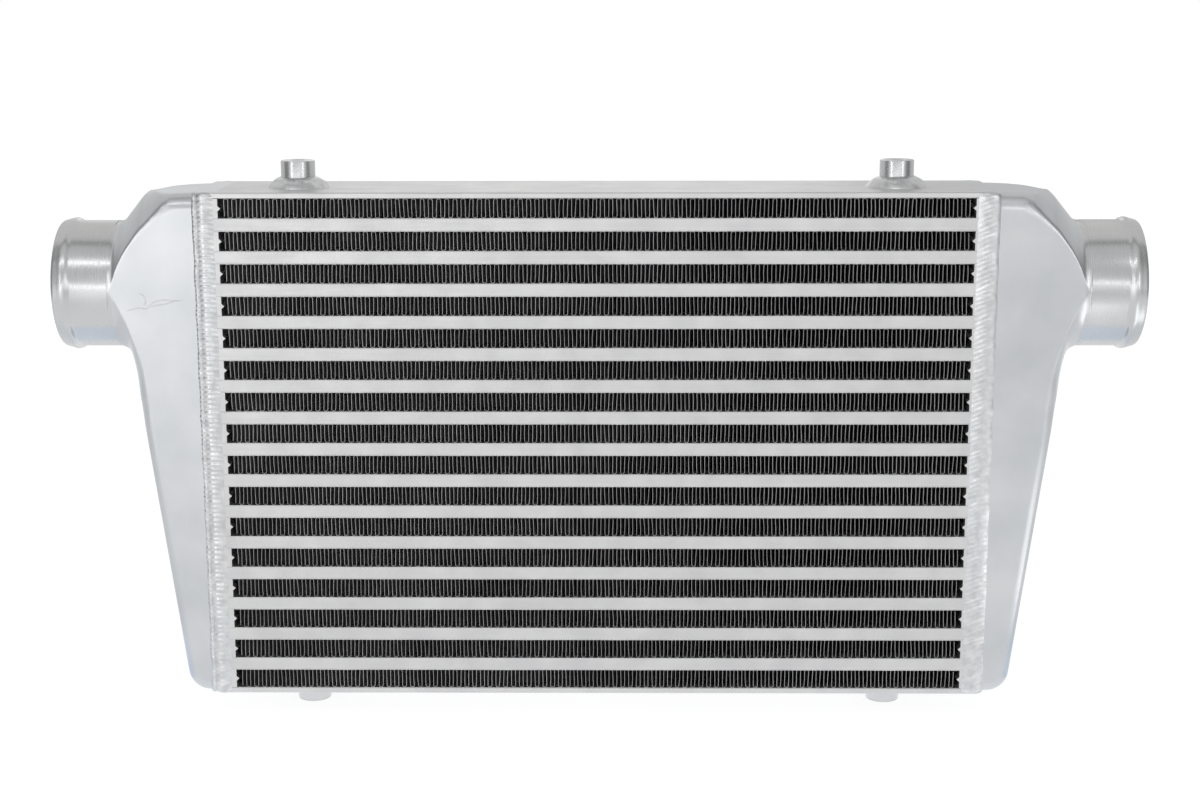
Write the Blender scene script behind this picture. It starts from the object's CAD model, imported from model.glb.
"""Intercooler dressed for show: castings, folded fins, welds, bosses, camera and stage."""

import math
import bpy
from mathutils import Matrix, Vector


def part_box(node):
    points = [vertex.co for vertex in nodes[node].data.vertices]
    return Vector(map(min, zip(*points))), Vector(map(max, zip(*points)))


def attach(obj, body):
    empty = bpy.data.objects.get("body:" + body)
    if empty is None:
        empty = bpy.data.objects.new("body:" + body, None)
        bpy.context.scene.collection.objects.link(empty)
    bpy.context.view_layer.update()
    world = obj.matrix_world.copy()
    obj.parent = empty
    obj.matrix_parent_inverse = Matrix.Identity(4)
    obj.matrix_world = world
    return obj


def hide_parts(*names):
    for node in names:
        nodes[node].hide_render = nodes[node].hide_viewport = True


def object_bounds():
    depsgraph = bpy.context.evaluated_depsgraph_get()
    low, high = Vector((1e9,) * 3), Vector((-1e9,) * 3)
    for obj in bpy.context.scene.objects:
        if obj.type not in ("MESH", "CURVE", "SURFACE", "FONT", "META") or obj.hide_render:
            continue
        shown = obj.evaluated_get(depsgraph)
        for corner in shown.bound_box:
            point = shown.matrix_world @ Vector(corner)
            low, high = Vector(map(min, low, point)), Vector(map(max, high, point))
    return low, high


bl_info = {
    "name": "Intercooler Dressing",
    "version": (1, 0, 0),
    "blender": (4, 5, 0),
    "location": "View3D > Sidebar > Cooler",
    "description": "Builds the looks of a bar-and-plate charge air cooler round its CAD frame",
    "category": "Add Mesh",
}

import bmesh
import bpy
import numpy as np
from mathutils import Matrix, Vector

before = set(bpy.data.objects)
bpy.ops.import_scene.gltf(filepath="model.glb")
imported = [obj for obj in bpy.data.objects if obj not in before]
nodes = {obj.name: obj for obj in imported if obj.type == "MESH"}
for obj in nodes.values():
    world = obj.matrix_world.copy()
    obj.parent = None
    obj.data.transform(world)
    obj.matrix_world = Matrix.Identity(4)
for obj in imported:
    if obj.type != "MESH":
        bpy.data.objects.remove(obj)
cad_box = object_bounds()

MM = 0.001
PLATE_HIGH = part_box("side_plate_top")[1]
JOINT_X = PLATE_HIGH.x
HALF_DEPTH = PLATE_HIGH.y
CORE_TOP = PLATE_HIGH.z
RIM_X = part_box("tank_right")[1].x
BOSS_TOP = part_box("bosses_top")[1].z
# from here outwards a casting is turned and no longer blasted
NECK_X = 286.5 * MM
# height of the spigots' axis, and from where a casting is round about it, in mm
AXIS_Z, ROUND_FROM = 95.0, 289.4
ROW_NAMES = sorted(name for name in nodes if name.startswith("air_fin_"))
TUBE_NAMES = sorted(name for name in nodes if name.startswith("charge_tube_"))
TURBULATOR_NAMES = sorted(name for name in nodes if name.startswith("turbulator_"))


# --- small helpers ---
def linear(code):
    """sRGB hex to linear RGBA."""
    parts = [int(code[i : i + 2], 16) / 255 for i in (1, 3, 5)]
    return tuple(
        p / 12.92 if p <= 0.04045 else ((p + 0.055) / 1.055) ** 2.4 for p in parts
    ) + (1.0,)


def add_node(tree, kind, links=(), **settings):
    """Adds a node; settings are its attributes or inputs, links are (socket, source output)."""
    node = tree.nodes.new(kind)
    for key, value in settings.items():
        name = key.replace("_", " ")
        if name in node.inputs and not hasattr(node, key):
            node.inputs[name].default_value = value
        else:
            setattr(node, key, value)
    for socket, source in links:
        target = node.inputs[socket]
        if isinstance(source, (int, float, tuple)):
            target.default_value = source
        else:
            tree.links.new(source, target)
    return node


def make_piece(name, points, faces, finish, smooth_angle=None):
    """Mesh object that rides on the one body."""
    mesh = bpy.data.meshes.new(name)
    mesh.from_pydata(np.asarray(points).tolist(), [], [tuple(f) for f in faces])
    mesh.update()
    if smooth_angle is not None:
        mesh.shade_smooth()
        mesh.set_sharp_from_angle(angle=math.radians(smooth_angle))
    mesh.materials.append(finish)
    piece = bpy.data.objects.new(name, mesh)
    bpy.context.scene.collection.objects.link(piece)
    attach(piece, "root")
    return piece


def grid_faces(rows, columns, wrap_rows=False, wrap_columns=False, start=0):
    """Quads of a grid of points that are stored row by row."""
    row_steps = np.arange(rows if wrap_rows else rows - 1)
    column_steps = np.arange(columns if wrap_columns else columns - 1)
    r, c = np.meshgrid(row_steps, column_steps, indexing="ij")
    r, c = r.ravel(), c.ravel()
    r2, c2 = (r + 1) % rows, (c + 1) % columns
    corners = (r * columns + c, r2 * columns + c, r2 * columns + c2, r * columns + c2)
    return np.stack(corners, axis=1) + start


def end_caps(rows, columns, start=0):
    """First and last ring of such a grid, as two faces."""
    last = start + (rows - 1) * columns
    return [list(range(start, start + columns))[::-1], list(range(last, last + columns))]


def flip(faces):
    return [tuple(f)[::-1] for f in faces]


def add_rings(points, faces, block, wrap_rows=False, flipped=False):
    """Adds a tube, one ring to each row of the block, with end faces unless it runs round."""
    rows, columns = block.shape[:2]
    start = sum(len(p) for p in points)
    quads = grid_faces(rows, columns, wrap_rows, True, start).tolist()
    if not wrap_rows:
        quads += end_caps(rows, columns, start)
    faces += flip(quads) if flipped else quads
    points.append(block.reshape(-1, 3))


def smooth_line(points, per_span):
    """Centripetal curve through the points, in any number of dimensions."""
    points = np.asarray(points, float)
    first, last = 2 * points[0] - points[1], 2 * points[-1] - points[-2]
    padded = np.vstack([first, points, last])
    out = []
    for p0, p1, p2, p3 in zip(padded, padded[1:], padded[2:], padded[3:]):
        t0 = 0.0
        t1 = t0 + np.linalg.norm(p1 - p0) ** 0.5
        t2 = t1 + np.linalg.norm(p2 - p1) ** 0.5
        t3 = t2 + np.linalg.norm(p3 - p2) ** 0.5
        for t in np.linspace(t1, t2, per_span, endpoint=False):
            a1 = (t1 - t) / (t1 - t0) * p0 + (t - t0) / (t1 - t0) * p1
            a2 = (t2 - t) / (t2 - t1) * p1 + (t - t1) / (t2 - t1) * p2
            a3 = (t3 - t) / (t3 - t2) * p2 + (t - t2) / (t3 - t2) * p3
            b1 = (t2 - t) / (t2 - t0) * a1 + (t - t0) / (t2 - t0) * a2
            b2 = (t3 - t) / (t3 - t1) * a2 + (t - t1) / (t3 - t1) * a3
            out.append((t2 - t) / (t2 - t1) * b1 + (t - t1) / (t2 - t1) * b2)
    out.append(points[-1])
    return np.array(out)


def rough_wave(positions, wavelength, rng):
    """Smooth random values of about unit size along a line."""
    positions = np.asarray(positions, float)
    total = np.zeros_like(positions)
    for octave, share in ((1.0, 0.6), (2.3, 0.3), (5.1, 0.15)):
        phase, second = rng.uniform(0, 2 * math.pi, 2)
        turn = 2 * math.pi * octave / wavelength
        total += share * np.sin(turn * positions + phase + np.sin(turn * 0.37 * positions + second))
    return total


def turned(profile, centre, axis, segments):
    """Body of revolution; profile is a closed loop of (distance along axis, radius)."""
    profile = np.asarray(profile, float)
    axis = Vector(axis).normalized()
    side = axis.orthogonal().normalized()
    up = axis.cross(side)
    angles = np.linspace(0, 2 * math.pi, segments, endpoint=False)
    along, radius = profile[:, 0], profile[:, 1]
    points = np.array(centre) + (
        along[None, :, None] * np.array(axis)
        + radius[None, :, None]
        * (
            np.cos(angles)[:, None, None] * np.array(side)
            + np.sin(angles)[:, None, None] * np.array(up)
        )
    )
    faces = grid_faces(segments, len(profile), True, True)
    return points.reshape(-1, 3), faces


# --- finishes ---
def new_finish(name):
    finish = bpy.data.materials.new(name)
    finish.use_nodes = True
    tree = finish.node_tree
    tree.nodes.clear()
    place = add_node(tree, "ShaderNodeTexCoord").outputs["Object"]
    shader = add_node(tree, "ShaderNodeBsdfPrincipled", Metallic=1.0)
    add_node(tree, "ShaderNodeOutputMaterial", [("Surface", shader.outputs[0])])
    return finish, tree, place, shader


def grain(tree, place, size_mm, detail=3.0, stretch=(1.0, 1.0, 1.0)):
    """Noise whose features are about size_mm across; stretch above 1 draws it out on that axis."""
    scale = tuple(1 / (size_mm * MM * s) for s in stretch)
    mapped = add_node(tree, "ShaderNodeMapping", [("Vector", place), ("Scale", scale)])
    noise = add_node(
        tree, "ShaderNodeTexNoise", [("Vector", mapped.outputs[0])], Scale=1.0, Detail=detail
    )
    return noise.outputs["Fac"]


def spread(tree, value, low, high, start=0.3, end=0.7):
    """Maps a pattern's middle range onto low to high."""
    return add_node(
        tree,
        "ShaderNodeMapRange",
        [("Value", value), ("From Min", start), ("From Max", end), ("To Min", low), ("To Max", high)],
    ).outputs[0]


def two_tone(tree, factor, dark, light):
    mix = add_node(tree, "ShaderNodeMix", [(0, factor)], data_type="RGBA")
    # sockets 6 and 7 are its two colours, output 2 is the mixed one
    mix.inputs[6].default_value = linear(dark)
    mix.inputs[7].default_value = linear(light)
    return mix.outputs[2]


def paint(tree, shader, pattern, dark, light, start=0.3, end=0.7):
    """Colours the shader from dark to light over the pattern's middle range."""
    colour = two_tone(tree, spread(tree, pattern, 0, 1, start, end), dark, light)
    tree.links.new(colour, shader.inputs["Base Color"])


def bump(tree, height, depth_mm, strength=1.0, normal=None):
    links = [("Height", height), ("Distance", depth_mm * MM), ("Strength", strength)]
    if normal is not None:
        links.append(("Normal", normal))
    return add_node(tree, "ShaderNodeBump", links).outputs[0]


def cast_finish(colours):
    """Fine sand-cast aluminium, blasted: an even satin with a faint grain and cloudy patches."""
    finish, tree, place, shader = new_finish("cast_aluminium_blasted")
    clouds = grain(tree, place, 35)
    fine = grain(tree, place, 0.9, 4.0)
    paint(tree, shader, clouds, colours.cast_dark, colours.cast_light)
    tree.links.new(spread(tree, fine, 0.28, 0.34), shader.inputs["Roughness"])
    soft = bump(tree, grain(tree, place, 9), 0.04, 0.4)
    tree.links.new(bump(tree, fine, 0.015, 0.3, soft), shader.inputs["Normal"])
    return finish


def bar_finish(colours):
    """Extruded aluminium bar out of the brazing furnace: satin, faintly streaked along its length."""
    finish, tree, place, shader = new_finish("extruded_aluminium_brazed")
    streaks = grain(tree, place, 0.8, 3.0, (30, 1, 1))
    clouds = grain(tree, place, 18)
    paint(tree, shader, clouds, colours.bar_dark, colours.bar_light)
    tree.links.new(spread(tree, streaks, 0.34, 0.5), shader.inputs["Roughness"])
    tree.links.new(bump(tree, streaks, 0.015, 0.4), shader.inputs["Normal"])
    return finish


def fin_finish(colours):
    """Thin clad sheet after brazing: dull dark grey, a little uneven from wall to wall."""
    finish, tree, place, shader = new_finish("fin_sheet_brazed")
    walls = grain(tree, place, 3.0, 2.0, (1, 4, 4))
    patches = grain(tree, place, 45, 2.0)
    both = add_node(tree, "ShaderNodeMath", [(0, walls), (1, patches)], operation="ADD").outputs[0]
    paint(tree, shader, both, colours.fin_dark, colours.fin_light, 0.8, 1.2)
    shader.inputs["Roughness"].default_value = 0.5
    tree.links.new(bump(tree, grain(tree, place, 1.5), 0.03, 0.5), shader.inputs["Normal"])
    return finish


def inner_fin_finish(colours):
    """Folded inner sheet, dull and clean, seen only down the spigots."""
    finish, tree, place, shader = new_finish("inner_fin_sheet_brazed")
    clouds = grain(tree, place, 6)
    paint(tree, shader, clouds, colours.inner_dark, colours.inner_light)
    shader.inputs["Roughness"].default_value = 0.45
    tree.links.new(bump(tree, clouds, 0.05, 0.4), shader.inputs["Normal"])
    return finish


def weld_finish(colours):
    """Fresh aluminium weld metal: bright on the ripples, frosted along the toes."""
    finish, tree, place, shader = new_finish("weld_metal_aluminium")
    frost = grain(tree, place, 5.0, 2.0)
    paint(tree, shader, frost, colours.weld_dark, colours.weld_light)
    tree.links.new(spread(tree, frost, 0.36, 0.28), shader.inputs["Roughness"])
    tree.links.new(bump(tree, grain(tree, place, 1.6, 1.0), 0.03, 0.3), shader.inputs["Normal"])
    return finish


def turned_finish(colours, name, axis):
    """Aluminium turned on a lathe: fine rings round the axis that draw the light out."""
    finish, tree, place, shader = new_finish(name)
    # real feed marks are finer; at 0.7 mm they still show as rings
    stretch = tuple(1.0 if i == axis else 60.0 for i in range(3))
    rings = grain(tree, place, 0.7, 1.0, stretch)
    clouds = grain(tree, place, 30)
    paint(tree, shader, clouds, colours.turned_dark, colours.turned_light)
    tree.links.new(spread(tree, rings, 0.25, 0.28), shader.inputs["Roughness"])
    # the rings spread the light along the axis and keep it narrow round it
    shader.inputs["Anisotropic"].default_value = 0.3
    shader.inputs["Anisotropic Rotation"].default_value = 0.25
    radial = add_node(tree, "ShaderNodeTangent", direction_type="RADIAL", axis="XYZ"[axis])
    tree.links.new(radial.outputs[0], shader.inputs["Tangent"])
    return finish


def finish_of(name, maker, *arguments):
    """Makes a finish the first time and hands it out afterwards."""
    known = bpy.data.materials.get(name)
    return known if known else maker(*arguments)


# --- settings ---
def length(name, default_mm, description):
    return bpy.props.FloatProperty(
        name=name, default=default_mm * MM, unit="LENGTH", precision=5, description=description
    )


def hex_colour(name, default, description):
    return bpy.props.StringProperty(name=name, default=default, description=description)


class CoolerSizes(bpy.types.PropertyGroup):
    """Sizes of what is dressed on the frame."""

    spigot_height: length("Spigot height", AXIS_Z, "Spigot axis above the middle of the core")
    spigot_radius: length("Spigot radius", 38.1, "Outside radius of the turned spigot")
    cast_end: length("Casting end", 291.0, "From the middle to where the turned spigot begins")
    spigot_bore: length("Spigot bore radius", 34.7, "Inside radius of the spigot")
    tank_wall: length("Tank wall", 4.0, "Thickness of the casting")
    fin_pitch: length("Fin pitch", 2.39, "Distance from one wall of a fin to the next")
    fin_sheet: length("Fin sheet", 0.22, "Thickness of the fin sheet")
    ripple_pitch: length("Weld ripple pitch", 2.9, "Distance between the ripples of a weld")
    weld_proud: length("Weld height", 1.7, "How far a weld stands out")
    boss_radius: length("Boss radius", 10.25, "Radius of a mounting boss")
    boss_x: length("Boss place", 179.3, "From the middle to a boss")


class CoolerColours(bpy.types.PropertyGroup):
    """Colours of the metals, as sRGB hex codes."""

    cast_dark: hex_colour("Casting, darker", "#C6C9CC", "Cloudier patches of the castings")
    cast_light: hex_colour("Casting, lighter", "#D2D4D6", "Cleaner patches of the castings")
    bar_dark: hex_colour("Bar, darker", "#CACACB", "Bars and side plates")
    bar_light: hex_colour("Bar, lighter", "#D5D5D5", "Bars and side plates")
    fin_dark: hex_colour("Fin, darker", "#A6A6A6", "Air fins")
    fin_light: hex_colour("Fin, lighter", "#C2C2C2", "Air fins")
    inner_dark: hex_colour("Inner fin, darker", "#8F9092", "Fins inside the tubes")
    inner_light: hex_colour("Inner fin, lighter", "#A9AAAC", "Fins inside the tubes")
    weld_dark: hex_colour("Weld, darker", "#C4C5C7", "Toes of the welds")
    weld_light: hex_colour("Weld, lighter", "#DCDDDE", "Crests of the welds")
    turned_dark: hex_colour("Turned, darker", "#C6C7C8", "Spigots and bosses")
    turned_light: hex_colour("Turned, lighter", "#D0D1D2", "Spigots and bosses")


class CoolerLight(bpy.types.PropertyGroup):
    """Strength of the stage light."""

    sky: bpy.props.FloatProperty(name="Sky", default=0.75, description="Light from all round")
    key: bpy.props.FloatProperty(name="Key", default=1.46, description="Power of the strip lamp")
    low: bpy.props.FloatProperty(name="Low", default=3.0, description="Power of the low lamp")


def sizes():
    return bpy.context.scene.cooler_sizes


def colours():
    return bpy.context.scene.cooler_colours


# --- camera ---
class COOLER_OT_camera(bpy.types.Operator):
    """Sets the camera a little above the cooler, looking slightly down at its front"""

    bl_idname = "cooler.camera"
    bl_label = "Camera"

    def execute(self, context):
        yaw, pitch, roll = (math.radians(a) for a in (-0.624, 11.601, -0.111))
        forward = Vector(
            (math.sin(yaw) * math.cos(pitch), math.cos(yaw) * math.cos(pitch), -math.sin(pitch))
        )
        right = Vector((math.cos(yaw), -math.sin(yaw), 0))
        up = right.cross(forward)
        right, up = (
            math.cos(roll) * right + math.sin(roll) * up,
            math.cos(roll) * up - math.sin(roll) * right,
        )
        data = bpy.data.cameras.new("camera")
        data.sensor_fit = "HORIZONTAL"
        data.sensor_width = 36
        # focal length over the width of the view, both in pixels
        focal, width = 1957.6, 1200
        data.lens = focal / width * 36
        data.clip_start, data.clip_end = 0.05, 50
        camera = bpy.data.objects.new("camera", data)
        context.scene.collection.objects.link(camera)
        turn = Matrix((right, up, -forward)).transposed().to_4x4()
        camera.matrix_world = Matrix.Translation((0.0144, -1.1765, 0.2639)) @ turn
        context.scene.camera = camera
        return {"FINISHED"}


# --- castings ---
# Stations along a casting's outline, in mm and degrees: silhouette x, z, edge of the flat side
# x, z, depth of the sloping surface between them, the turns at which that surface starts and
# ends, 90 and 0 being flush with the side and the top, and how soft the crease is.
# From the joint over the shoulder to the spigot:
SHOULDER = [
    (229.0, 152.8, 229.0, 143.4, 9.0, 90, 0, 1.1),
    (240.0, 152.6, 240.0, 143.2, 9.0, 90, 0, 1.1),
    (246.0, 152.4, 246.0, 143.2, 9.0, 90, 0, 1.5),
    (250.0, 152.3, 250.0, 144.4, 8.6, 80, 4, 3.0),
    (253.0, 152.2, 253.0, 144.0, 9.4, 64, 12, 3.6),
    (256.0, 152.1, 256.0, 142.4, 11.0, 54, 18, 3.4),
    (260.0, 152.0, 260.0, 139.4, 17.0, 45, 16, 3.0),
    (264.0, 151.8, 264.0, 135.9, 28.0, 43, 8, 2.6),
    (267.0, 151.6, 267.0, 132.8, 38.0, 45, 0, 2.3),
    (269.4, 151.3, 269.4, 130.3, 38.1, 47, 0, 2.0),
    (271.2, 150.2, 271.2, 128.2, 38.1, 49, 0, 1.9),
    (273.5, 147.6, 273.5, 125.2, 38.1, 52, 0, 1.8),
    (276.3, 144.1, 276.3, 121.3, 38.1, 56, 0, 1.6),
    (279.2, 140.6, 279.2, 117.0, 38.1, 60, 0, 1.4),
    (282.0, 137.2, 282.0, 111.9, 38.1, 66, 0, 1.3),
    (284.3, 134.6, 284.3, 106.6, 38.1, 74, 0, 1.2),
    (286.2, 133.5, 286.2, 101.0, 38.1, 82, 0, 1.0),
    (288.0, 133.15, 288.0, 96.8, 38.1, 88, 0, 0.8),
    (289.5, 133.1, 289.5, 95.0, 38.1, 90, 0, 0.8),
    (291.0, 133.1, 291.0, 95.0, 38.1, 90, 0, 0.8),
]
# From the spigot round the heel to the leaning wall:
HEEL = [
    (291.0, 56.9, 291.0, 95.0, 38.1, 90, 0, 0.8),
    (289.5, 56.8, 289.5, 95.0, 38.1, 90, 0, 0.8),
    (287.4, 56.2, 286.8, 92.0, 38.1, 84, 0, 1.0),
    (284.8, 54.9, 283.8, 86.2, 38.1, 76, 0, 1.2),
    (282.6, 53.0, 281.2, 80.4, 38.1, 69, 0, 1.4),
    (280.6, 50.0, 278.4, 74.2, 36.0, 63, 0, 1.5),
    (278.6, 45.6, 276.2, 67.6, 30.0, 60, 0, 1.6),
    (276.8, 41.0, 273.4, 59.4, 21.0, 62, 0, 1.6),
    (275.3, 36.0, 269.9, 48.6, 13.0, 72, 0, 1.6),
    (274.1, 30.5, 267.2, 34.5, 9.0, 84, 0, 1.4),
    (273.2, 25.0, 265.4, 25.7, 8.0, 90, 0, 1.1),
]


def tank_outline():
    """Silhouette and edge of the flat side for the lower part of a casting, in mm."""
    low, corner, rounding = -152.6, 13.5, 6.5
    middle_x, slope = 269.95, 0.1303
    lean = math.atan(slope)

    def wall(z):
        return middle_x + slope * z

    rows = [(wall(z), z) for z in (10, -40, -90, -130)]
    rows = [(x, z, x - rounding, z, rounding, 90, 0, 1.1) for x, z in rows]
    turn_z = low + corner
    turn_x = wall(turn_z) - corner / math.cos(lean)
    for angle in np.linspace(-lean, -math.pi / 2, 9):
        out = np.array([math.cos(angle), math.sin(angle)])
        edge = np.array([turn_x, turn_z]) + out * (corner - rounding)
        tip = np.array([turn_x, turn_z]) + out * corner
        rows.append((*tip, *edge, rounding, 90, 0, 1.1))
    rows += [
        (x, z, x, z + rounding, rounding, 90, 0, 1.1) for x, z in ((233.6, -153.0), (229.0, -153.5))
    ]
    return rows


def station_section(station, inset):
    """Points across a casting at one station, from the flat front to the middle, in mm."""
    tip, edge = station[:2], station[2:4]
    depth, first, last = station[4], math.radians(station[5]), math.radians(station[6])
    side = HALF_DEPTH / MM - inset
    reach = np.linalg.norm(tip - edge)
    out = (tip - edge) / reach
    reach = max(reach - inset, 0.6)
    depth = min(max(depth - inset, 0.6), side)
    turn = np.linspace(first, last, 40)
    along = reach * (np.cos(turn) - math.cos(first)) / (math.cos(last) - math.cos(first))
    across = depth * (math.sin(first) - np.sin(turn)) / (math.sin(first) - math.sin(last))
    soft = station[7]
    lead = min(soft + 1.5, 0.9 * abs(edge[1] - AXIS_Z))
    line = np.c_[np.r_[-lead, along, reach], np.r_[0, across, side]]
    run = np.r_[0, np.cumsum(np.linalg.norm(np.diff(line, axis=0), axis=1))]
    start, end, total = run[1], run[-2], run[-1]
    # rows stay on the two bends, and each point is an average over the bend's width
    bends = np.array([-1.0, -0.6, -0.3, 0.0, 0.3, 0.6, 1.0]) * (soft + 1.3)
    at = np.r_[
        0.0,
        start + bends * min(1, lead / (soft + 1.5), (end - start) / 8),
        start + (end - start) * np.linspace(0.2, 0.8, 9),
        end + bends * min(1, (total - end) / 4.0, (end - start) / 8),
        end + (total - end) * np.array([0.5, 1.0]),
    ]
    window = np.linspace(-1, 1, 9) * soft
    reach_in = np.minimum(np.minimum(at, total - at) / soft, 1.0)
    places = at[:, None] + window * reach_in[:, None]
    along, across = (np.interp(places, run, line[:, i]).mean(1) for i in (0, 1))
    place = edge + out * along[:, None]
    return np.c_[place[:, 0], across - side, place[:, 1]]


def flat_side(above, below, x_of):
    """Triangles between two lines of points that both run outwards."""
    faces = []
    a, b = 0, 0
    while a + 1 < len(above) or b + 1 < len(below):
        next_a = x_of(above[min(a + 1, len(above) - 1)])
        next_b = x_of(below[min(b + 1, len(below) - 1)])
        if b + 1 == len(below) or (a + 1 < len(above) and next_a <= next_b):
            faces.append([above[a], above[a + 1], below[b]])
            a += 1
        else:
            faces.append([above[a], below[b + 1], below[b]])
            b += 1
    return faces


def casting_skin(inset, first_point):
    """Points, faces and two open rims of a casting's outside, or of its hollow, in mm."""
    blocks, faces, spans = [], [], []
    start = first_point
    for outline in (smooth_line(SHOULDER, 4), smooth_line(HEEL + tank_outline(), 4)):
        outline[outline[:, 0] > ROUND_FROM, 3] = AXIS_Z
        rows = np.stack([station_section(station, inset) for station in outline], axis=1)
        rows = np.vstack([rows, rows[-2::-1] * (1, -1, 1)])
        count, columns = rows.shape[:2]
        faces += grid_faces(count, columns, start=start).tolist()
        spans.append(start + np.arange(count * columns).reshape(count, columns))
        blocks.append(rows.reshape(-1, 3))
        start += count * columns
    upper, lower = spans
    points = np.vstack(blocks)

    def x_of(point):
        return points[point - first_point, 0]

    # flat front and back, between the two outlines, up to where the spigot leaves them
    for row in (0, -1):
        above = [i for i in upper[row] if x_of(i) < ROUND_FROM]
        below = [i for i in lower[row][::-1] if x_of(i) < ROUND_FROM]
        flat = flat_side(above, below, x_of)
        faces += flat if row else [face[::-1] for face in flat]
    joint_rim = np.r_[upper[:, 0], lower[::-1, -1]]
    spigot_rim = np.r_[upper[:, -1], lower[::-1, 0]]
    return points, faces, (joint_rim, spigot_rim)


def casting(name, side, reach, finish, neck_finish):
    """Hollow casting on the right, or mirrored to the left, that reaches out to the rim."""
    outside, faces, outer_rims = casting_skin(0.0, 0)
    inside, inner_faces, inner_rims = casting_skin(sizes().tank_wall / MM, len(outside))
    faces = faces + [face[::-1] for face in inner_faces]
    for outer, inner in zip(outer_rims, inner_rims):
        for i in range(len(outer)):
            j = (i + 1) % len(outer)
            faces.append([outer[i], outer[j], inner[j], inner[i]])
    points = np.vstack([outside, inside]) * MM
    points[:, 0] = JOINT_X + (points[:, 0] - JOINT_X) * (reach - JOINT_X) / (RIM_X - JOINT_X)
    piece = make_piece(name, points * (side, 1, 1), faces, finish)
    mesh = piece.data
    work = bmesh.new()
    work.from_mesh(mesh)
    bmesh.ops.remove_doubles(work, verts=work.verts, dist=0.01 * MM)
    bmesh.ops.recalc_face_normals(work, faces=work.faces)
    work.to_mesh(mesh)
    work.free()
    mesh.shade_smooth()
    mesh.set_sharp_from_angle(angle=math.radians(40))
    mesh.materials.append(neck_finish)
    for face in mesh.polygons:
        face.material_index = int(abs(face.center.x) > NECK_X)
    return piece


# Raised lines left by the mould on the front of the left casting, as x, z in mm.
MOULD_LINES = [
    [(-276.9, 83.6), (-273.4, 84.8), (-269.0, 85.6), (-265.6, 84.8), (-263.0, 87.3), (-260.0, 89.1),
     (-255.1, 90.1), (-248.7, 89.7), (-243.3, 89.9)],
    [(-263.1, 86.0), (-258.6, 87.0), (-252.7, 88.2), (-247.7, 89.5)],
    [(-269.8, 94.1), (-267.3, 93.3), (-265.9, 91.5), (-265.5, 88.9), (-266.7, 86.8)],
]
# Section of such a line: across it and out of the casting, in mm.
RIDGE = [(-0.55, -0.2), (-0.42, 0.0), (-0.15, 0.11), (0.15, 0.11), (0.42, 0.0), (0.55, -0.2)]


def mould_lines(finish):
    """Low uneven ridges along the lines, fading at both ends."""
    points, faces = [], []
    for number, line in enumerate(MOULD_LINES):
        rng = np.random.default_rng(11 + number)
        line = smooth_line(line, 10)
        ahead = np.gradient(line, axis=0)
        ahead /= np.linalg.norm(ahead, axis=1)[:, None]
        beside = np.c_[-ahead[:, 1], ahead[:, 0]]
        run = np.r_[0, np.cumsum(np.linalg.norm(np.diff(line, axis=0), axis=1))]
        fade = np.clip(np.minimum(run, run[-1] - run) / 2.0, 0.05, 1)
        swell = fade * (1 + 0.45 * rough_wave(run, 6.0, rng))
        block = []
        for across, up in RIDGE:
            flat = line + beside * (across * (0.6 + 0.4 * fade))[:, None]
            proud = np.where(up > 0, up * np.clip(swell, 0.05, 1.5), up)
            block.append(np.c_[flat[:, 0], -HALF_DEPTH / MM - proud, flat[:, 1]])
        add_rings(points, faces, np.stack(block, axis=1), flipped=True)
    piece = make_piece("mould_lines_left", np.vstack(points) * MM, faces, finish, 80)


class COOLER_OT_castings(bpy.types.Operator):
    """Makes the two cast end tanks and their turned spigots"""

    bl_idname = "cooler.castings"
    bl_label = "End tanks"

    def execute(self, context):
        size = sizes()
        cast = finish_of("cast_aluminium_blasted", cast_finish, colours())
        turned_x = finish_of(
            "spigot_turned_aluminium", turned_finish, colours(), "spigot_turned_aluminium", 0
        )
        outside, bore = size.spigot_radius, size.spigot_bore
        begin, rim = size.cast_end - 0.5 * MM, RIM_X
        # the bead falls steeply towards the core and gently towards the rim, in mm from the rim
        bead = [(11.4, 0), (10.6, 0.12), (9.9, 0.42), (9.2, 0.88), (8.4, 1.34), (7.6, 1.62)]
        bead += [(6.8, 1.7), (6.0, 1.62), (5.0, 1.36), (4.0, 1.02), (3.0, 0.72), (1.6, 0.35)]
        bead = [(rim - back * MM, outside + up * MM) for back, up in bead]
        profile = [
            (begin, bore),
            (begin, outside),
            (size.cast_end + 4 * MM, outside),
            *bead,
            (rim - 0.5 * MM, outside),
            (rim - 0.1 * MM, outside - 0.3 * MM),
            (rim, outside - 0.7 * MM),
            (rim, bore + 0.8 * MM),
            (rim - 0.3 * MM, bore + 0.25 * MM),
            (rim - 1.0 * MM, bore),
            (rim - 12 * MM, bore),
        ]
        # the left spigot is the shorter
        for label, side, cut in (("left", -1, 2 * MM), ("right", 1, 0)):
            body = casting(f"casting_{label}", side, RIM_X - cut, cast, turned_x)
            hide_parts(f"tank_{label}")
            middle = (-side * cut, 0, size.spigot_height)
            points, faces = turned(profile, middle, (side, 0, 0), 160)
            spigot = make_piece(f"spigot_{label}", points, faces, turned_x, 40)
        mould_lines(cast)
        return {"FINISHED"}


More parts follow.
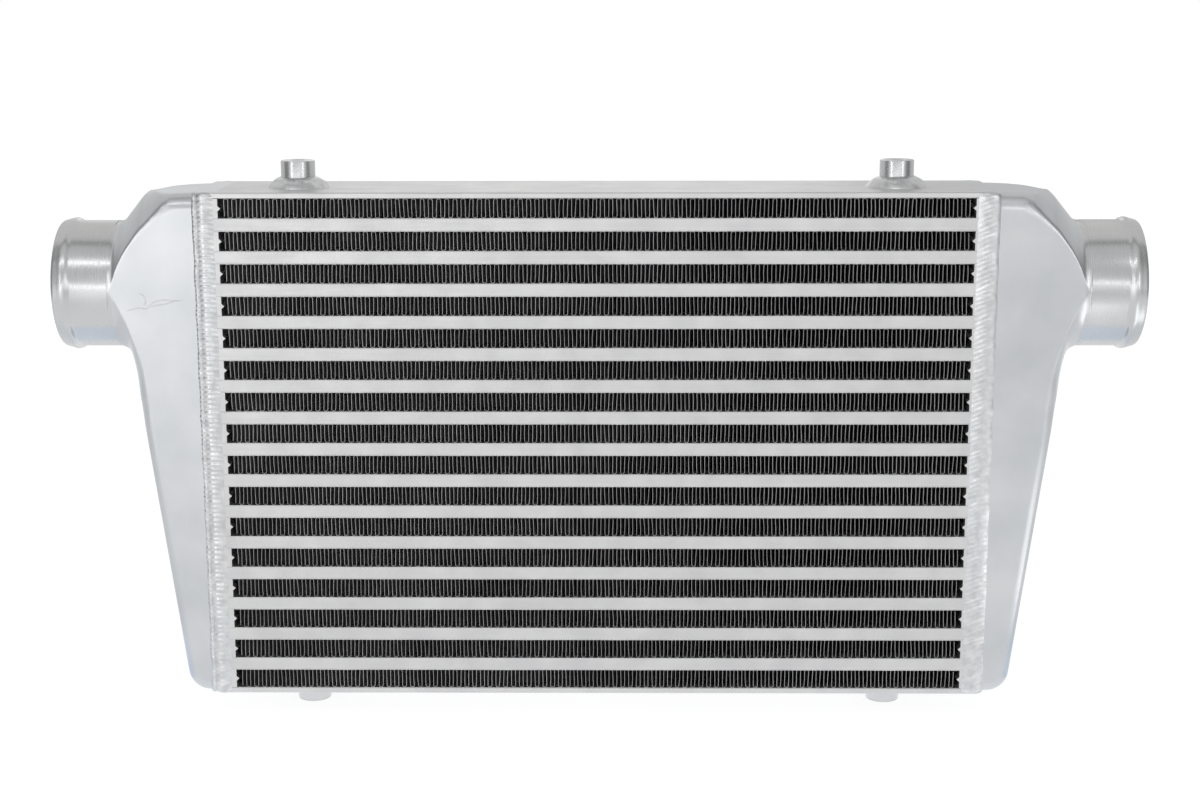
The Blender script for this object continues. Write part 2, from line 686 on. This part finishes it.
# --- air fins ---
def fold_line(low, high, walls, rng):
    """Centre line of one folded strip as (x, z) points, with rounded crests."""
    pitch = (high.x - low.x) / (walls + 0.4)
    top, bottom = high.z, low.z
    index = np.arange(walls)
    place = low.x + (index + 0.7) * pitch
    drift = 0.10 * MM * rough_wave(place, 0.12, rng) + rng.normal(0, 0.05 * MM, walls)
    lean = 0.16 * MM * rough_wave(place, 0.09, rng) + rng.normal(0, 0.07 * MM, walls)
    bow = 0.14 * MM * rough_wave(place, 0.05, rng) + rng.normal(0, 0.05 * MM, walls)
    crest = 0.95 * MM
    points = []
    for i in range(walls):
        x = place[i] + drift[i]
        rising = i % 2 == 0
        ends = [(x - lean[i], bottom + crest), (x + bow[i], (top + bottom) / 2)]
        ends.append((x + lean[i], top - crest))
        if not rising:
            ends.reverse()
        points += ends
        if i + 1 < walls:
            next_x = place[i + 1] + drift[i + 1]
            shift = lean[i + 1] if rising else -lean[i + 1]
            a, b = ends[-1][0], next_x + shift
            peak = top if rising else bottom
            shoulder = ends[-1][1] * 0.25 + peak * 0.75
            # only the middle of the crest touches the parting sheet
            for share, height in ((0.14, shoulder), (0.5, peak), (0.86, shoulder)):
                points.append((a * (1 - share) + b * share, height))
    return np.array(points)


class COOLER_OT_fins(bpy.types.Operator):
    """Makes the folded air fins, one strip in each row"""

    bl_idname = "cooler.fins"
    bl_label = "Air fins"

    def execute(self, context):
        size = sizes()
        sheet = finish_of("fin_sheet_brazed", fin_finish, colours())
        # stations from front to back and how far the sheet waves aside there, in mm
        strip_depth = 74.2
        wave = [(0, 0), (3, 0.1), (8.5, 1.6), (16.5, -1.2), (27, 1.2)]
        wave += [(strip_depth - y, shift) for y, shift in wave[::-1]]
        for number, name in enumerate(ROW_NAMES):
            rng = np.random.default_rng(400 + number)
            low, high = (v.copy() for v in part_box(name))
            half = size.fin_sheet / 2
            low.z, high.z = low.z + half, high.z - half
            walls = round((high.x - low.x) / size.fin_pitch)
            line = fold_line(low, high, walls, rng)
            along = np.gradient(line, axis=0)
            along /= np.linalg.norm(along, axis=1)[:, None]
            across = np.c_[-along[:, 1], along[:, 0]] * half
            loops = []
            for direction, stations in ((1, wave), (-1, wave[::-1])):
                for depth, shift in stations:
                    x = line[:, 0] + across[:, 0] * direction + shift * MM
                    z = line[:, 1] + across[:, 1] * direction
                    y = np.full(len(x), low.y + depth * MM)
                    loops.append(np.c_[np.clip(x, low.x - 1 * MM, high.x + 1 * MM), y, z])
            points, faces = [], []
            add_rings(points, faces, np.stack(loops, axis=1))
            piece = make_piece(f"folded_{name}", np.vstack(points), faces, sheet, 70)
            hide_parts(name)
        return {"FINISHED"}


# --- core: bars, plates and sheets ---
class COOLER_OT_core(bpy.types.Operator):
    """Gives the bars and plates their finish and adds the edges of the parting sheets"""

    bl_idname = "cooler.core"
    bl_label = "Core"

    def execute(self, context):
        bar = finish_of("extruded_aluminium_brazed", bar_finish, colours())
        inner = finish_of("inner_fin_sheet_brazed", inner_fin_finish, colours())
        bars = TUBE_NAMES + ["header_bars_left", "header_bars_right"]
        for names, finish in ((bars, bar), (TURBULATOR_NAMES, inner)):
            for name in names:
                nodes[name].data.materials.clear()
                nodes[name].data.materials.append(finish)
        self.sheet_edges(bar)
        self.plates(bar)
        return {"FINISHED"}

    def sheet_edges(self, bar):
        """Edges of the parting sheets, a hair proud of the bars, front and back."""
        end = JOINT_X - 4.0 * MM
        stations = np.linspace(-end, end, 50)
        section = [(0.3, -0.3), (-0.06, -0.28), (-0.17, -0.1), (-0.17, 0.12), (-0.05, 0.3), (0.3, 0.3)]
        for label, side in (("front", -1), ("back", 1)):
            points, faces = [], []
            for number, name in enumerate(TUBE_NAMES):
                low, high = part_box(name)
                for edge, towards in ((high.z - 0.3 * MM, 1), (low.z + 0.3 * MM, -1)):
                    rng = np.random.default_rng(900 + number * 4 + towards + side)
                    sway = 0.05 * MM * rough_wave(stations, 0.08, rng)
                    swell = 1 + 0.25 * rough_wave(stations, 0.03, rng)
                    block = np.zeros((len(stations), len(section), 3))
                    for i, (out, up) in enumerate(section):
                        block[:, i, 0] = stations
                        proud = np.where(out < 0, out * swell, out) * MM
                        block[:, i, 1] = side * (HALF_DEPTH - proud)
                        block[:, i, 2] = edge + towards * up * MM + sway * (out < 0)
                    add_rings(points, faces, block, flipped=side * towards < 0)
            piece = make_piece(f"sheet_edges_{label}", np.vstack(points), faces, bar, 60)

    def plates(self, bar):
        """Side plates with their edges broken."""
        for label in ("top", "bottom"):
            low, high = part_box(f"side_plate_{label}")
            broken = 0.5 * MM
            corners = [(low.y, low.z), (high.y, low.z), (high.y, high.z), (low.y, high.z)]
            loop = []
            for i, (y, z) in enumerate(corners):
                for other in (corners[i - 1], corners[(i + 1) % 4]):
                    step = Vector((other[0] - y, other[1] - z)).normalized() * broken
                    loop.append((y + step.x, z + step.y))
            points = [(x, y, z) for x in np.linspace(low.x, high.x, 3) for y, z in loop]
            faces = flip(grid_faces(3, len(loop), wrap_columns=True)) + end_caps(3, len(loop))
            piece = make_piece(f"plate_{label}", points, faces, bar)
            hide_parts(f"side_plate_{label}")


# --- welds ---
class COOLER_OT_welds(bpy.types.Operator):
    """Lays the rippled weld beads round both joints and round the bosses"""

    bl_idname = "cooler.welds"
    bl_label = "Welds"

    def execute(self, context):
        finish = finish_of("weld_metal_aluminium", weld_finish, colours())
        # inner toe and outer toe from the joint in mm, height, ripple depth, slant of the ripples
        left = [(-5.4, 5.0, 1.0, 1.0, 0.4), (3.9, 7.2, 0.5, 1.2, 0.0)]
        right = [(-6.9, 6.2, 0.9, 1.0, 6.0)]
        self.joint("left", -1, left, finish, 31)
        self.joint("right", 1, right, finish, 57)
        self.bosses(finish)
        return {"FINISHED"}

    def path(self, spacing):
        """Stations round the joint, their places and outward directions, and the whole way round."""
        corner = 3.0 * MM
        half_y, half_z = HALF_DEPTH - corner, CORE_TOP - corner
        corners = [
            ((-half_y, half_z), math.pi),
            ((-half_y, -half_z), 1.5 * math.pi),
            ((half_y, -half_z), 0.0),
            ((half_y, half_z), 0.5 * math.pi),
        ]
        places, outs = [], []
        for centre, turn in corners:
            # quarter turn from the last side to the next
            for angle in np.linspace(turn - math.pi / 2, turn, 9):
                out = np.array([math.cos(angle), math.sin(angle)])
                places.append(np.array(centre) + out * corner)
                outs.append(out)
        places, outs = np.array(places), np.array(outs)
        loop = np.vstack([places, places[:1]])
        turns = np.vstack([outs, outs[:1]])
        run = np.r_[0, np.cumsum(np.linalg.norm(np.diff(loop, axis=0), axis=1))]
        count = int(run[-1] / spacing)
        at = np.linspace(0, run[-1], count, endpoint=False)
        place = np.c_[np.interp(at, run, loop[:, 0]), np.interp(at, run, loop[:, 1])]
        out = np.c_[np.interp(at, run, turns[:, 0]), np.interp(at, run, turns[:, 1])]
        out /= np.linalg.norm(out, axis=1)[:, None]
        return at, place, out, run[-1]

    def joint(self, label, side, passes, finish, seed):
        """Weld between the core and one tank, pass by pass."""
        run = self.path(0.6 * MM)
        points, faces = [], []
        for number, measures in enumerate(passes):
            block = self.bead(side, run, measures, np.random.default_rng(seed + number))
            add_rings(points, faces, block, wrap_rows=True, flipped=side > 0)
        piece = make_piece(f"weld_bead_{label}", np.vstack(points), faces, finish, 60)
        # above and below it is ground, and there it looks like the castings
        piece.data.materials.append(finish_of("cast_aluminium_blasted", cast_finish, colours()))
        for face in piece.data.polygons:
            face.material_index = int(abs(face.center.z) > CORE_TOP - 0.5 * MM)
        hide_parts(f"weld_{label}")

    def bead(self, side, run, measures, rng):
        """Points of one pass: a row to each station, across the bead and down its two skirts."""
        size = sizes()
        at, place, out, total = run
        inner, outer, high, deep, slant = measures
        # ground nearly flush with the side plates
        dressed = 1 - 0.82 * np.clip(np.abs(out[:, 1]) * 3 - 2, 0, 1)
        # the pass begins and ends in a lump at the front top corner
        near = np.minimum(at, total - at) / (5 * MM)
        # below, the castings stop short of the side plates and the bead slopes up to them
        below = np.clip(-out[:, 1] * 3 - 2, 0, 1)
        ripples = round(total / size.ripple_pitch)
        beat = 2 * math.pi * ripples * at / total + 0.9 * rough_wave(at, total / 40, rng)
        strength = rng.uniform(0.45, 1.25, ripples + 3)
        inner_toe = inner + 0.3 * rough_wave(at, total / 31, rng)
        outer_toe = outer + 0.3 * rough_wave(at, total / 27, rng)
        swell = 1 + 0.07 * rough_wave(at, total / 45, rng) + 0.3 * np.exp(-(near**2))
        # in mm; at its highest the bead stays a little inside the solid weld
        lowest, highest, skirt = -0.3, 1.72, 0.7
        section = np.linspace(-1, 1, 12 if outer - inner > 5 else 8)
        block = np.zeros((len(at), len(section) + 2, 3))
        for i, across in enumerate(section):
            x = (inner_toe + outer_toe) / 2 + across * (outer_toe - inner_toe) / 2
            # each puddle is a crescent that trails the one before it
            phase = beat - 2.0 * across**2 + slant * across
            which = np.clip(np.floor(phase / (2 * math.pi)), 0, ripples).astype(int)
            puddle = strength[which] * (0.5 - 0.5 * np.cos(phase))
            depth = 0.36 * deep * puddle * (1 - across**2) ** 0.6
            if side > 0:
                # the upper part of the right bead is smooth on the side of the tank
                upper = np.clip(place[:, 1] / (40 * MM) + 2, 0, 1)
                depth = depth * (1 - upper * np.clip(0.5 + 1.1 * across, 0.15, 0.92))
            # the right bead ends steeply on the tank
            steep = 0.75 if side > 0 and across > 0 else 1.25
            crown = size.weld_proud / MM * high * swell * (1 - across**2) ** steep
            lift = np.clip((crown * 0.84 + depth) * dressed - 0.03, lowest, highest)
            block[:, i, 0] = side * (JOINT_X + x * MM)
            block[:, i, 1:] = place + out * (lift * MM)[:, None]
            block[:, i, 2] += below * 1.5 * MM * np.clip((x + 5.4) / 12.4, 0, 1)
        for i, x in enumerate((outer_toe - 0.3, inner_toe + 0.3), len(section)):
            block[:, i, 0] = side * (JOINT_X + x * MM)
            block[:, i, 1:] = place - out * skirt * MM
        return block

    def wander(self, angles, rng):
        """Uneven way round a boss, of about unit size."""
        return sum(
            rng.normal(0, 0.8) / k * np.cos(k * angles + rng.uniform(0, 6)) for k in (1, 2, 3)
        )

    def bosses(self, finish):
        """Broad uneven fillets round the feet of the bosses."""
        size = sizes()
        for label, sign in (("top", 1), ("bottom", -1)):
            points, faces = [], []
            for number, place in enumerate((-size.boss_x, size.boss_x)):
                rng = np.random.default_rng(70 + number + 10 * sign)
                angles = np.linspace(0, 2 * math.pi, 140, endpoint=False)
                # radius at the plate and height on the boss, in mm
                foot = 18.3 + 0.5 * self.wander(angles, rng)
                head = 6.3 + 0.35 * self.wander(angles, rng)
                radius0 = size.boss_radius / MM
                rings = []
                for t in np.linspace(0, 1, 12) ** 1.5:
                    r = foot + (radius0 + 0.05 - foot) * t
                    z = head * (1.9 * t - 1.2 * t**2 + 0.3 * t**3)
                    fine = 0.16 * np.sin(26 * angles + 2.0 * t)
                    broad = 0.4 * np.sin(7 * angles + 5 * t + number)
                    rings.append((r + (fine + broad) * np.sin(math.pi * t), z))
                # the foot begins in the plate, and the fillet closes inside the boss
                rings[0] = (rings[0][0], rings[0][1] - 0.1)
                rings += [(radius0 - 1, head), (radius0 - 1, -0.3)]
                block = np.zeros((len(angles), len(rings), 3))
                for i, (r, z) in enumerate(rings):
                    block[:, i, 0] = place + r * np.cos(angles) * MM
                    block[:, i, 1] = r * np.sin(angles) * MM
                    block[:, i, 2] = sign * (CORE_TOP + z * MM)
                add_rings(points, faces, block, wrap_rows=True, flipped=sign < 0)
            piece = make_piece(f"boss_fillets_{label}", np.vstack(points), faces, finish, 60)
            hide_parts(f"boss_welds_{label}")


# --- bosses ---
class COOLER_OT_bosses(bpy.types.Operator):
    """Makes the threaded mounting bosses"""

    bl_idname = "cooler.bosses"
    bl_label = "Bosses"

    def execute(self, context):
        size = sizes()
        finish = finish_of(
            "boss_turned_aluminium", turned_finish, colours(), "boss_turned_aluminium", 2
        )
        top, radius = BOSS_TOP, size.boss_radius
        mouth, root, crest = 4.6 * MM, 3.95 * MM, 3.4 * MM
        thread_pitch, turns = 1.25 * MM, 8
        profile = [
            (CORE_TOP, radius),
            (top - 0.7 * MM, radius),
            (top - 0.2 * MM, radius - 0.15 * MM),
            (top, radius - 0.7 * MM),
            (top, mouth + 0.3 * MM),
            (top - 0.1 * MM, mouth),
        ]
        begin = top - 1.0 * MM
        for i in range(turns):
            profile.append((begin - i * thread_pitch, crest))
            profile.append((begin - (i + 0.5) * thread_pitch, root))
        profile += [(begin - turns * thread_pitch, crest), (top - 12.5 * MM, 0.05 * MM)]
        profile += [(CORE_TOP + 1 * MM, 0.05 * MM), (CORE_TOP, 0.4 * MM)]
        for label, sign in (("top", 1), ("bottom", -1)):
            points, faces = [], []
            for place in (-size.boss_x, size.boss_x):
                block, quads = turned(profile, (place, 0, 0), (0, 0, sign), 72)
                faces += (quads + sum(len(p) for p in points)).tolist()
                points.append(block)
            piece = make_piece(f"bosses_turned_{label}", np.vstack(points), faces, finish, 30)
            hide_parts(f"bosses_{label}")
        return {"FINISHED"}


# --- stage ---
# In m: the cards' distance behind and beside the cooler, the ceiling, and how low they reach.
BACK, SIDE, LID = 3.0, 1.3, 1.7
CARD_FOOT, CARD_FLOOR = -0.16, -0.168
WHITE, COOL_WHITE, SKY_BLUE = "#FFFFFF", "#FCFDFF", "#E6F1FF"
# Brightness of the floor by the cooler, then well in front of it on the left, middle and right.
FLOOR_LEVELS = (0.94, 1.26, 0.86, 0.72)


def level_card(x, y, z):
    """Corners of a card that lies level between two places on x and two on y."""
    return [(x[0], y[0], z), (x[1], y[0], z), (x[1], y[1], z), (x[0], y[1], z)]


def standing_card(start, end, z):
    """Corners of a card that stands on the line from start to end, between two heights."""
    return [(*start, z[0]), (*end, z[0]), (*end, z[1]), (*start, z[1])]


def cards():
    """Cards round the cooler: name, corners in m, brightness, tint."""
    wide, wall, under, beside = (-4, 4), (CARD_FOOT, LID), (-0.08, 0.12), (-0.08, 0.6)
    slope = [(-4, -2.6, 0.15), (4, -2.6, 0.15), (4, -0.30, 1.9), (-4, -0.30, 1.9)]
    rows = [
        ("ceiling_card", level_card(wide, (-0.05, BACK), LID), 0.76, "#FFFEFC"),
        ("ceiling_gap", level_card(wide, (-0.30, -0.05), LID), 0.25, WHITE),
        ("front_card", slope, 0.68, WHITE),
        ("back_card", standing_card((-0.6, BACK), (0.5, BACK), wall), 1.13, WHITE),
        ("back_left", standing_card((-SIDE, BACK), (-0.6, BACK), wall), 0.88, WHITE),
        ("back_right", standing_card((0.5, BACK), (SIDE, BACK), wall), 0.66, WHITE),
        ("under_card", level_card((-0.27, 0.27), under, CARD_FLOOR), 1.08, COOL_WHITE),
        ("under_left", level_card((-0.37, -0.28), under, CARD_FLOOR), 1.0, SKY_BLUE),
        ("under_right", level_card((0.28, 0.37), under, CARD_FLOOR), 1.0, SKY_BLUE),
        ("floor_left", level_card((-3, -0.37), beside, CARD_FLOOR), 0.88, COOL_WHITE),
        ("floor_right", level_card((0.37, 3), beside, CARD_FLOOR), 0.88, COOL_WHITE),
        ("right_patch", level_card((0.40, 0.60), (-0.45, -0.09), CARD_FLOOR + MM), 1.8, WHITE),
    ]
    for name, x, strip_foot in (("left", -SIDE, CARD_FOOT), ("right", SIDE, 0.06)):
        for part, y, brightness in (("gap", (-0.75, 0.05), 0.28), ("card", (0.05, BACK), 0.70)):
            edge = standing_card((x, y[0]), (x, y[1]), (CARD_FOOT, 1.2))
            rows.append((f"{name}_{part}", edge, brightness, WHITE))
        strip = standing_card((x * 0.86, -1.65), (x, -1.45), (strip_foot, 0.75))
        rows.append((f"{name}_strip", strip, 3.0, WHITE))
    return rows


class COOLER_OT_stage(bpy.types.Operator):
    """Sets up the pale floor, the sky and the lamps"""

    bl_idname = "cooler.stage"
    bl_label = "Stage"

    def execute(self, context):
        self.floor()
        for card in cards():
            self.card(*card)
        self.floor_card()
        self.sky(context)
        light = context.scene.cooler_light
        self.lamp("strip_lamp", (-0.4675, -0.86, 0.93), 1.665, 0.10, 0, light.key)
        self.lamp("low_lamp", (0.0, -2.2, 0.27), 2.6, 0.18, 9, light.low)
        context.scene.view_settings.view_transform = "Standard"
        return {"FINISHED"}

    def sheet(self, name, material_name, corners):
        """One flat face of the stage; gives back its object and the empty tree of its material."""
        mesh = bpy.data.meshes.new(name)
        mesh.from_pydata(corners, [], [(0, 1, 2, 3)])
        sheet = bpy.data.objects.new(name, mesh)
        bpy.context.scene.collection.objects.link(sheet)
        paper = bpy.data.materials.new(material_name)
        paper.use_nodes = True
        paper.node_tree.nodes.clear()
        mesh.materials.append(paper)
        return sheet, paper.node_tree

    def floor(self):
        reach = (-8.0, 8.0)
        corners = level_card(reach, reach, cad_box[0].z)
        tree = self.sheet("floor", "floor_white_paper", corners)[1]
        diffuse = add_node(tree, "ShaderNodeBsdfDiffuse", Color=linear("#EDEDED"))
        faint = add_node(tree, "ShaderNodeBsdfDiffuse", Color=linear("#949494"))
        glow = add_node(tree, "ShaderNodeEmission", Strength=0.82)
        both = add_node(tree, "ShaderNodeAddShader", [(0, faint.outputs[0]), (1, glow.outputs[0])])
        mixed = add_node(
            tree,
            "ShaderNodeMixShader",
            [(0, self.seen(tree)), (1, diffuse.outputs[0]), (2, both.outputs[0])],
        )
        add_node(tree, "ShaderNodeOutputMaterial", [("Surface", mixed.outputs[0])])

    def card(self, name, corners, brightness, tint=WHITE):
        """Card that only shows in the metal; gives back its material's tree and its shader."""
        card, tree = self.sheet(name, name, corners)
        glow = add_node(tree, "ShaderNodeEmission", Color=linear(tint), Strength=brightness)
        add_node(tree, "ShaderNodeOutputMaterial", [("Surface", glow.outputs[0])])
        card.visible_camera = card.visible_diffuse = card.visible_shadow = False
        card.visible_transmission = card.visible_volume_scatter = False
        return tree, glow

    def floor_card(self):
        """The pale floor as the front shows it, with its light and shade."""
        corners = level_card((-3, 3), (-3.4, -0.08), cad_box[0].z + 1 * MM)
        tree, glow = self.card("floor_card", corners, 1.0)
        place = add_node(tree, "ShaderNodeNewGeometry").outputs["Position"]
        parts = add_node(tree, "ShaderNodeSeparateXYZ", [(0, place)]).outputs
        near, left, middle, right = FLOOR_LEVELS
        far = spread(tree, parts["X"], left, middle, -0.65, 0.05)
        fall = spread(tree, parts["X"], 0, middle - right, 0.05, 0.6)
        far = add_node(tree, "ShaderNodeMath", [(0, far), (1, fall)], operation="SUBTRACT").outputs[0]
        level = add_node(
            tree, "ShaderNodeMix", [(0, spread(tree, parts["Y"], 1, 0, -1.0, -0.5)), (2, near), (3, far)]
        )
        tree.links.new(level.outputs[0], glow.inputs["Strength"])

    def seen(self, tree):
        """1 for what the camera sees itself, in a reflection or through glass."""
        rays = add_node(tree, "ShaderNodeLightPath").outputs
        seen = rays["Is Camera Ray"]
        for kind in ("Is Glossy Ray", "Is Transmission Ray"):
            links = [(0, seen), (1, rays[kind])]
            seen = add_node(tree, "ShaderNodeMath", links, operation="MAXIMUM").outputs[0]
        return seen

    def sky(self, context):
        world = bpy.data.worlds.new("studio")
        context.scene.world = world
        world.use_nodes = True
        tree = world.node_tree
        tree.nodes.clear()
        soft = add_node(tree, "ShaderNodeBackground", Strength=context.scene.cooler_light.sky)
        white = add_node(tree, "ShaderNodeBackground", Strength=1.0)
        for node in (soft, white):
            node.inputs["Color"].default_value = (1, 1, 1, 1)
        mixed = add_node(
            tree,
            "ShaderNodeMixShader",
            [(0, self.seen(tree)), (1, soft.outputs[0]), (2, white.outputs[0])],
        )
        add_node(tree, "ShaderNodeOutputWorld", [("Surface", mixed.outputs[0])])

    def lamp(self, name, place, width, height, tilt, power):
        data = bpy.data.lights.new(name, "AREA")
        data.shape = "RECTANGLE"
        data.size, data.size_y = width, height
        data.energy = power
        lamp = bpy.data.objects.new(name, data)
        lamp.location = place
        turn = (Vector((place[0], 0, 0)) - Vector(place)).to_track_quat("-Z", "Y").to_matrix()
        turn = turn @ Matrix.Rotation(math.radians(tilt), 3, "Z")
        lamp.rotation_euler = turn.to_euler()
        lamp.visible_camera = False
        bpy.context.scene.collection.objects.link(lamp)


# --- panel and registration ---
class COOLER_PT_panel(bpy.types.Panel):
    """Lists the cooler's pieces, sizes and colours"""

    bl_label = "Cooler"
    bl_idname = "COOLER_PT_panel"
    bl_space_type = "VIEW_3D"
    bl_region_type = "UI"
    bl_category = "Cooler"

    def draw(self, context):
        for operator in OPERATORS:
            self.layout.operator(operator.bl_idname)
        for group in ("cooler_sizes", "cooler_colours", "cooler_light"):
            settings = getattr(context.scene, group)
            box = self.layout.box()
            for name in settings.__annotations__:
                box.prop(settings, name)


OPERATORS = (
    COOLER_OT_camera,
    COOLER_OT_castings,
    COOLER_OT_fins,
    COOLER_OT_core,
    COOLER_OT_welds,
    COOLER_OT_bosses,
    COOLER_OT_stage,
)
CLASSES = (CoolerSizes, CoolerColours, CoolerLight) + OPERATORS + (COOLER_PT_panel,)


def register():
    for item in CLASSES:
        bpy.utils.register_class(item)
    bpy.types.Scene.cooler_sizes = bpy.props.PointerProperty(type=CoolerSizes)
    bpy.types.Scene.cooler_colours = bpy.props.PointerProperty(type=CoolerColours)
    bpy.types.Scene.cooler_light = bpy.props.PointerProperty(type=CoolerLight)


def unregister():
    del bpy.types.Scene.cooler_sizes, bpy.types.Scene.cooler_colours, bpy.types.Scene.cooler_light
    for item in reversed(CLASSES):
        bpy.utils.unregister_class(item)


def main():
    register()
    bpy.ops.cooler.camera()
    bpy.ops.cooler.castings()
    bpy.ops.cooler.fins()
    bpy.ops.cooler.core()
    bpy.ops.cooler.welds()
    bpy.ops.cooler.bosses()
    bpy.ops.cooler.stage()


if __name__ == "__main__":
    main()
